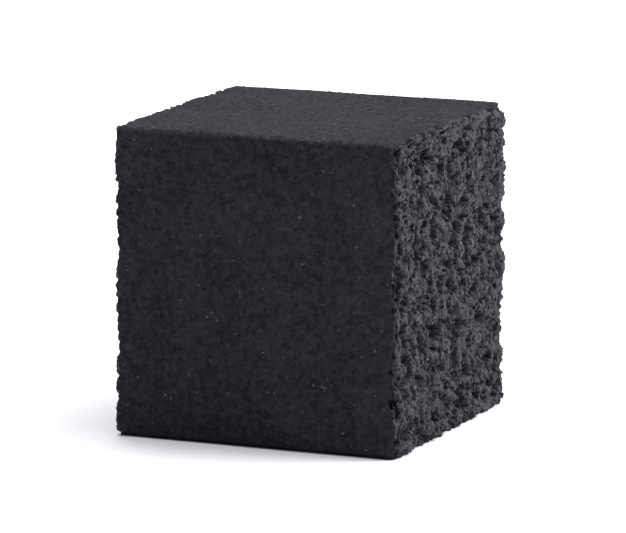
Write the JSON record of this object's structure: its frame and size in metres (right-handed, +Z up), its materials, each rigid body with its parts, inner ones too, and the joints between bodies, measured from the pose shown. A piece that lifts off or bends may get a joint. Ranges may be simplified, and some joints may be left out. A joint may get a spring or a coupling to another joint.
{
  "type": "charcoal briquette",
  "caption": "Cube of pressed coconut-shell charcoal: smooth sides and rounded edges from the die, and two torn, pitted ends where the bar was chopped.",
  "frame": {"origin": "on the surface that the cube stands on, under the middle of its flat underside", "axes": "+X along the extruded bar, out of one torn end; +Y out of a smooth side; +Z up"},
  "size_m": [0.0246, 0.024, 0.0252],
  "materials": {
    "char": "matte"
  },
  "bodies": {
    "root": {"briquette": "char"}
  },
  "joints": []
}
